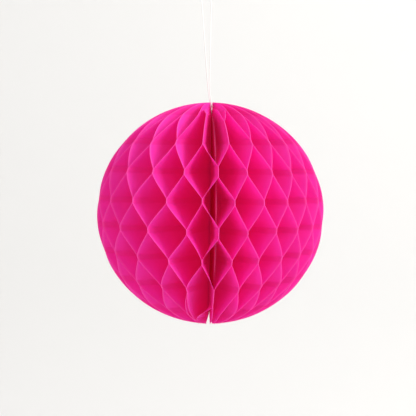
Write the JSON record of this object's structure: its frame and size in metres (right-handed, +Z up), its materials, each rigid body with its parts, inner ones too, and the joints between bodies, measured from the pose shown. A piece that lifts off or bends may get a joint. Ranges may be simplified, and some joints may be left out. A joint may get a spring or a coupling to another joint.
{
  "type": "paper honeycomb ball",
  "caption": "Hanging honeycomb ball of glued tissue leaves that fans out round a bound axis, with card covers meeting at a seam and a loop of thread to hang it by.",
  "frame": {"origin": "centre of the ball, on the binding thread, halfway up the leaves", "axes": "+Z up the axis towards the hanging loop, -Y out of the seam where the two covers meet, +X to the right of the seam seen from the front"},
  "size_m": [0.1998, 0.1994, 0.2988],
  "materials": {
    "tissue": "matte translucent tissue",
    "card": "matte pink card",
    "thread": "white cotton thread",
    "tape": "double-sided tape"
  },
  "bodies": {
    "hanger": {"hanging_loop": "thread"},
    "knot": {"hanging_knot": "thread"},
    "core": {"binding_thread": "thread", "tissue_leaf_22": "tissue"},
    "right_cover": {"right_cover": "card"},
    "left_cover": {"left_cover": "card", "seam_tape": "tape"},
    "leaf_01": {"tissue_leaf_01": "tissue"},
    "leaf_02": {"tissue_leaf_02": "tissue"},
    "leaf_03": {"tissue_leaf_03": "tissue"},
    "leaf_04": {"tissue_leaf_04": "tissue"},
    "leaf_05": {"tissue_leaf_05": "tissue"},
    "leaf_06": {"tissue_leaf_06": "tissue"},
    "leaf_07": {"tissue_leaf_07": "tissue"},
    "leaf_08": {"tissue_leaf_08": "tissue"},
    "leaf_09": {"tissue_leaf_09": "tissue"},
    "leaf_10": {"tissue_leaf_10": "tissue"},
    "leaf_11": {"tissue_leaf_11": "tissue"},
    "leaf_12": {"tissue_leaf_12": "tissue"},
    "leaf_13": {"tissue_leaf_13": "tissue"},
    "leaf_14": {"tissue_leaf_14": "tissue"},
    "leaf_15": {"tissue_leaf_15": "tissue"},
    "leaf_16": {"tissue_leaf_16": "tissue"},
    "leaf_17": {"tissue_leaf_17": "tissue"},
    "leaf_18": {"tissue_leaf_18": "tissue"},
    "leaf_19": {"tissue_leaf_19": "tissue"},
    "leaf_20": {"tissue_leaf_20": "tissue"},
    "leaf_21": {"tissue_leaf_21": "tissue"},
    "leaf_23": {"tissue_leaf_23": "tissue"},
    "leaf_24": {"tissue_leaf_24": "tissue"},
    "leaf_25": {"tissue_leaf_25": "tissue"},
    "leaf_26": {"tissue_leaf_26": "tissue"},
    "leaf_27": {"tissue_leaf_27": "tissue"},
    "leaf_28": {"tissue_leaf_28": "tissue"},
    "leaf_29": {"tissue_leaf_29": "tissue"},
    "leaf_30": {"tissue_leaf_30": "tissue"},
    "leaf_31": {"tissue_leaf_31": "tissue"},
    "leaf_32": {"tissue_leaf_32": "tissue"},
    "leaf_33": {"tissue_leaf_33": "tissue"},
    "leaf_34": {"tissue_leaf_34": "tissue"},
    "leaf_35": {"tissue_leaf_35": "tissue"},
    "leaf_36": {"tissue_leaf_36": "tissue"},
    "leaf_37": {"tissue_leaf_37": "tissue"},
    "leaf_38": {"tissue_leaf_38": "tissue"},
    "leaf_39": {"tissue_leaf_39": "tissue"},
    "leaf_40": {"tissue_leaf_40": "tissue"},
    "leaf_41": {"tissue_leaf_41": "tissue"},
    "leaf_42": {"tissue_leaf_42": "tissue"},
    "leaf_43": {"tissue_leaf_43": "tissue"},
    "leaf_44": {"tissue_leaf_44": "tissue"}
  },
  "joints": [
    {"name": "ball_swing", "type": "hinge", "parent": "hanger", "child": "knot", "pos_m": [0, 0, 0.0941], "axis": [0, 1, 0], "range_deg": [-25, 25]},
    {"name": "ball_spin", "type": "hinge", "parent": "knot", "child": "core", "pos_m": [0, 0, 0.0941], "axis": [0, 0, 1], "continuous": true},
    {"name": "fan_fold", "type": "hinge", "parent": "core", "child": "right_cover", "pos_m": [0, 0, 0], "axis": [0, 0, 1], "range_deg": [0, 170], "deforming": ["tissue_leaf_22"]},
    {"name": "left_cover_fold", "type": "hinge", "parent": "core", "child": "left_cover", "pos_m": [0, 0, 0], "axis": [0, 0, 1], "range_deg": [-177.92, 0]},
    {"name": "leaf_01_fold", "type": "hinge", "parent": "core", "child": "leaf_01", "pos_m": [0, 0, 0], "axis": [0, 0, 1], "range_deg": [0, 166.06], "deforming": ["tissue_leaf_01"]},
    {"name": "leaf_02_fold", "type": "hinge", "parent": "core", "child": "leaf_02", "pos_m": [0, 0, 0], "axis": [0, 0, 1], "range_deg": [0, 158.15], "deforming": ["tissue_leaf_02"]},
    {"name": "leaf_03_fold", "type": "hinge", "parent": "core", "child": "leaf_03", "pos_m": [0, 0, 0], "axis": [0, 0, 1], "range_deg": [0, 150.24], "deforming": ["tissue_leaf_03"]},
    {"name": "leaf_04_fold", "type": "hinge", "parent": "core", "child": "leaf_04", "pos_m": [0, 0, 0], "axis": [0, 0, 1], "range_deg": [0, 142.34], "deforming": ["tissue_leaf_04"]},
    {"name": "leaf_05_fold", "type": "hinge", "parent": "core", "child": "leaf_05", "pos_m": [0, 0, 0], "axis": [0, 0, 1], "range_deg": [0, 134.43], "deforming": ["tissue_leaf_05"]},
    {"name": "leaf_06_fold", "type": "hinge", "parent": "core", "child": "leaf_06", "pos_m": [0, 0, 0], "axis": [0, 0, 1], "range_deg": [0, 126.52], "deforming": ["tissue_leaf_06"]},
    {"name": "leaf_07_fold", "type": "hinge", "parent": "core", "child": "leaf_07", "pos_m": [0, 0, 0], "axis": [0, 0, 1], "range_deg": [0, 118.61], "deforming": ["tissue_leaf_07"]},
    {"name": "leaf_08_fold", "type": "hinge", "parent": "core", "child": "leaf_08", "pos_m": [0, 0, 0], "axis": [0, 0, 1], "range_deg": [0, 110.71], "deforming": ["tissue_leaf_08"]},
    {"name": "leaf_09_fold", "type": "hinge", "parent": "core", "child": "leaf_09", "pos_m": [0, 0, 0], "axis": [0, 0, 1], "range_deg": [0, 102.8], "deforming": ["tissue_leaf_09"]},
    {"name": "leaf_10_fold", "type": "hinge", "parent": "core", "child": "leaf_10", "pos_m": [0, 0, 0], "axis": [0, 0, 1], "range_deg": [0, 94.89], "deforming": ["tissue_leaf_10"]},
    {"name": "leaf_11_fold", "type": "hinge", "parent": "core", "child": "leaf_11", "pos_m": [0, 0, 0], "axis": [0, 0, 1], "range_deg": [0, 86.99], "deforming": ["tissue_leaf_11"]},
    {"name": "leaf_12_fold", "type": "hinge", "parent": "core", "child": "leaf_12", "pos_m": [0, 0, 0], "axis": [0, 0, 1], "range_deg": [0, 79.08], "deforming": ["tissue_leaf_12"]},
    {"name": "leaf_13_fold", "type": "hinge", "parent": "core", "child": "leaf_13", "pos_m": [0, 0, 0], "axis": [0, 0, 1], "range_deg": [0, 71.17], "deforming": ["tissue_leaf_13"]},
    {"name": "leaf_14_fold", "type": "hinge", "parent": "core", "child": "leaf_14", "pos_m": [0, 0, 0], "axis": [0, 0, 1], "range_deg": [0, 63.27], "deforming": ["tissue_leaf_14"]},
    {"name": "leaf_15_fold", "type": "hinge", "parent": "core", "child": "leaf_15", "pos_m": [0, 0, 0], "axis": [0, 0, 1], "range_deg": [0, 55.36], "deforming": ["tissue_leaf_15"]},
    {"name": "leaf_16_fold", "type": "hinge", "parent": "core", "child": "leaf_16", "pos_m": [0, 0, 0], "axis": [0, 0, 1], "range_deg": [0, 47.45], "deforming": ["tissue_leaf_16"]},
    {"name": "leaf_17_fold", "type": "hinge", "parent": "core", "child": "leaf_17", "pos_m": [0, 0, 0], "axis": [0, 0, 1], "range_deg": [0, 39.55], "deforming": ["tissue_leaf_17"]},
    {"name": "leaf_18_fold", "type": "hinge", "parent": "core", "child": "leaf_18", "pos_m": [0, 0, 0], "axis": [0, 0, 1], "range_deg": [0, 31.64], "deforming": ["tissue_leaf_18"]},
    {"name": "leaf_19_fold", "type": "hinge", "parent": "core", "child": "leaf_19", "pos_m": [0, 0, 0], "axis": [0, 0, 1], "range_deg": [0, 23.73], "deforming": ["tissue_leaf_19"]},
    {"name": "leaf_20_fold", "type": "hinge", "parent": "core", "child": "leaf_20", "pos_m": [0, 0, 0], "axis": [0, 0, 1], "range_deg": [0, 15.82], "deforming": ["tissue_leaf_20"]},
    {"name": "leaf_21_fold", "type": "hinge", "parent": "core", "child": "leaf_21", "pos_m": [0, 0, 0], "axis": [0, 0, 1], "range_deg": [0, 7.92], "deforming": ["tissue_leaf_21"]},
    {"name": "leaf_23_fold", "type": "hinge", "parent": "core", "child": "leaf_23", "pos_m": [0, 0, 0], "axis": [0, 0, 1], "range_deg": [-7.92, 0], "deforming": ["tissue_leaf_23"]},
    {"name": "leaf_24_fold", "type": "hinge", "parent": "core", "child": "leaf_24", "pos_m": [0, 0, 0], "axis": [0, 0, 1], "range_deg": [-15.82, 0], "deforming": ["tissue_leaf_24"]},
    {"name": "leaf_25_fold", "type": "hinge", "parent": "core", "child": "leaf_25", "pos_m": [0, 0, 0], "axis": [0, 0, 1], "range_deg": [-23.73, 0], "deforming": ["tissue_leaf_25"]},
    {"name": "leaf_26_fold", "type": "hinge", "parent": "core", "child": "leaf_26", "pos_m": [0, 0, 0], "axis": [0, 0, 1], "range_deg": [-31.64, 0], "deforming": ["tissue_leaf_26"]},
    {"name": "leaf_27_fold", "type": "hinge", "parent": "core", "child": "leaf_27", "pos_m": [0, 0, 0], "axis": [0, 0, 1], "range_deg": [-39.55, 0], "deforming": ["tissue_leaf_27"]},
    {"name": "leaf_28_fold", "type": "hinge", "parent": "core", "child": "leaf_28", "pos_m": [0, 0, 0], "axis": [0, 0, 1], "range_deg": [-47.45, 0], "deforming": ["tissue_leaf_28"]},
    {"name": "leaf_29_fold", "type": "hinge", "parent": "core", "child": "leaf_29", "pos_m": [0, 0, 0], "axis": [0, 0, 1], "range_deg": [-55.36, 0], "deforming": ["tissue_leaf_29"]},
    {"name": "leaf_30_fold", "type": "hinge", "parent": "core", "child": "leaf_30", "pos_m": [0, 0, 0], "axis": [0, 0, 1], "range_deg": [-63.27, 0], "deforming": ["tissue_leaf_30"]},
    {"name": "leaf_31_fold", "type": "hinge", "parent": "core", "child": "leaf_31", "pos_m": [0, 0, 0], "axis": [0, 0, 1], "range_deg": [-71.17, 0], "deforming": ["tissue_leaf_31"]},
    {"name": "leaf_32_fold", "type": "hinge", "parent": "core", "child": "leaf_32", "pos_m": [0, 0, 0], "axis": [0, 0, 1], "range_deg": [-79.08, 0], "deforming": ["tissue_leaf_32"]},
    {"name": "leaf_33_fold", "type": "hinge", "parent": "core", "child": "leaf_33", "pos_m": [0, 0, 0], "axis": [0, 0, 1], "range_deg": [-86.99, 0], "deforming": ["tissue_leaf_33"]},
    {"name": "leaf_34_fold", "type": "hinge", "parent": "core", "child": "leaf_34", "pos_m": [0, 0, 0], "axis": [0, 0, 1], "range_deg": [-94.89, 0], "deforming": ["tissue_leaf_34"]},
    {"name": "leaf_35_fold", "type": "hinge", "parent": "core", "child": "leaf_35", "pos_m": [0, 0, 0], "axis": [0, 0, 1], "range_deg": [-102.8, 0], "deforming": ["tissue_leaf_35"]},
    {"name": "leaf_36_fold", "type": "hinge", "parent": "core", "child": "leaf_36", "pos_m": [0, 0, 0], "axis": [0, 0, 1], "range_deg": [-110.71, 0], "deforming": ["tissue_leaf_36"]},
    {"name": "leaf_37_fold", "type": "hinge", "parent": "core", "child": "leaf_37", "pos_m": [0, 0, 0], "axis": [0, 0, 1], "range_deg": [-118.61, 0], "deforming": ["tissue_leaf_37"]},
    {"name": "leaf_38_fold", "type": "hinge", "parent": "core", "child": "leaf_38", "pos_m": [0, 0, 0], "axis": [0, 0, 1], "range_deg": [-126.52, 0], "deforming": ["tissue_leaf_38"]},
    {"name": "leaf_39_fold", "type": "hinge", "parent": "core", "child": "leaf_39", "pos_m": [0, 0, 0], "axis": [0, 0, 1], "range_deg": [-134.43, 0], "deforming": ["tissue_leaf_39"]},
    {"name": "leaf_40_fold", "type": "hinge", "parent": "core", "child": "leaf_40", "pos_m": [0, 0, 0], "axis": [0, 0, 1], "range_deg": [-142.34, 0], "deforming": ["tissue_leaf_40"]},
    {"name": "leaf_41_fold", "type": "hinge", "parent": "core", "child": "leaf_41", "pos_m": [0, 0, 0], "axis": [0, 0, 1], "range_deg": [-150.24, 0], "deforming": ["tissue_leaf_41"]},
    {"name": "leaf_42_fold", "type": "hinge", "parent": "core", "child": "leaf_42", "pos_m": [0, 0, 0], "axis": [0, 0, 1], "range_deg": [-158.15, 0], "deforming": ["tissue_leaf_42"]},
    {"name": "leaf_43_fold", "type": "hinge", "parent": "core", "child": "leaf_43", "pos_m": [0, 0, 0], "axis": [0, 0, 1], "range_deg": [-166.06, 0], "deforming": ["tissue_leaf_43"]},
    {"name": "leaf_44_fold", "type": "hinge", "parent": "core", "child": "leaf_44", "pos_m": [0, 0, 0], "axis": [0, 0, 1], "range_deg": [-173.96, 0], "deforming": ["tissue_leaf_44"]}
  ],
  "couplings": [
    {"joint": "left_cover_fold", "follows": "fan_fold", "ratio": -1.0465},
    {"joint": "leaf_01_fold", "follows": "fan_fold", "ratio": 0.97674},
    {"joint": "leaf_02_fold", "follows": "fan_fold", "ratio": 0.93023},
    {"joint": "leaf_03_fold", "follows": "fan_fold", "ratio": 0.88372},
    {"joint": "leaf_04_fold", "follows": "fan_fold", "ratio": 0.83721},
    {"joint": "leaf_05_fold", "follows": "fan_fold", "ratio": 0.7907},
    {"joint": "leaf_06_fold", "follows": "fan_fold", "ratio": 0.74419},
    {"joint": "leaf_07_fold", "follows": "fan_fold", "ratio": 0.69767},
    {"joint": "leaf_08_fold", "follows": "fan_fold", "ratio": 0.65116},
    {"joint": "leaf_09_fold", "follows": "fan_fold", "ratio": 0.60465},
    {"joint": "leaf_10_fold", "follows": "fan_fold", "ratio": 0.55814},
    {"joint": "leaf_11_fold", "follows": "fan_fold", "ratio": 0.51163},
    {"joint": "leaf_12_fold", "follows": "fan_fold", "ratio": 0.46512},
    {"joint": "leaf_13_fold", "follows": "fan_fold", "ratio": 0.41861},
    {"joint": "leaf_14_fold", "follows": "fan_fold", "ratio": 0.37209},
    {"joint": "leaf_15_fold", "follows": "fan_fold", "ratio": 0.32558},
    {"joint": "leaf_16_fold", "follows": "fan_fold", "ratio": 0.27907},
    {"joint": "leaf_17_fold", "follows": "fan_fold", "ratio": 0.23256},
    {"joint": "leaf_18_fold", "follows": "fan_fold", "ratio": 0.18605},
    {"joint": "leaf_19_fold", "follows": "fan_fold", "ratio": 0.13953},
    {"joint": "leaf_20_fold", "follows": "fan_fold", "ratio": 0.093023},
    {"joint": "leaf_21_fold", "follows": "fan_fold", "ratio": 0.046512},
    {"joint": "leaf_23_fold", "follows": "fan_fold", "ratio": -0.046512},
    {"joint": "leaf_24_fold", "follows": "fan_fold", "ratio": -0.093023},
    {"joint": "leaf_25_fold", "follows": "fan_fold", "ratio": -0.13953},
    {"joint": "leaf_26_fold", "follows": "fan_fold", "ratio": -0.18605},
    {"joint": "leaf_27_fold", "follows": "fan_fold", "ratio": -0.23256},
    {"joint": "leaf_28_fold", "follows": "fan_fold", "ratio": -0.27907},
    {"joint": "leaf_29_fold", "follows": "fan_fold", "ratio": -0.32558},
    {"joint": "leaf_30_fold", "follows": "fan_fold", "ratio": -0.37209},
    {"joint": "leaf_31_fold", "follows": "fan_fold", "ratio": -0.41861},
    {"joint": "leaf_32_fold", "follows": "fan_fold", "ratio": -0.46512},
    {"joint": "leaf_33_fold", "follows": "fan_fold", "ratio": -0.51163},
    {"joint": "leaf_34_fold", "follows": "fan_fold", "ratio": -0.55814},
    {"joint": "leaf_35_fold", "follows": "fan_fold", "ratio": -0.60465},
    {"joint": "leaf_36_fold", "follows": "fan_fold", "ratio": -0.65116},
    {"joint": "leaf_37_fold", "follows": "fan_fold", "ratio": -0.69767},
    {"joint": "leaf_38_fold", "follows": "fan_fold", "ratio": -0.74419},
    {"joint": "leaf_39_fold", "follows": "fan_fold", "ratio": -0.7907},
    {"joint": "leaf_40_fold", "follows": "fan_fold", "ratio": -0.83721},
    {"joint": "leaf_41_fold", "follows": "fan_fold", "ratio": -0.88372},
    {"joint": "leaf_42_fold", "follows": "fan_fold", "ratio": -0.93023},
    {"joint": "leaf_43_fold", "follows": "fan_fold", "ratio": -0.97674},
    {"joint": "leaf_44_fold", "follows": "fan_fold", "ratio": -1.0233}
  ]
}
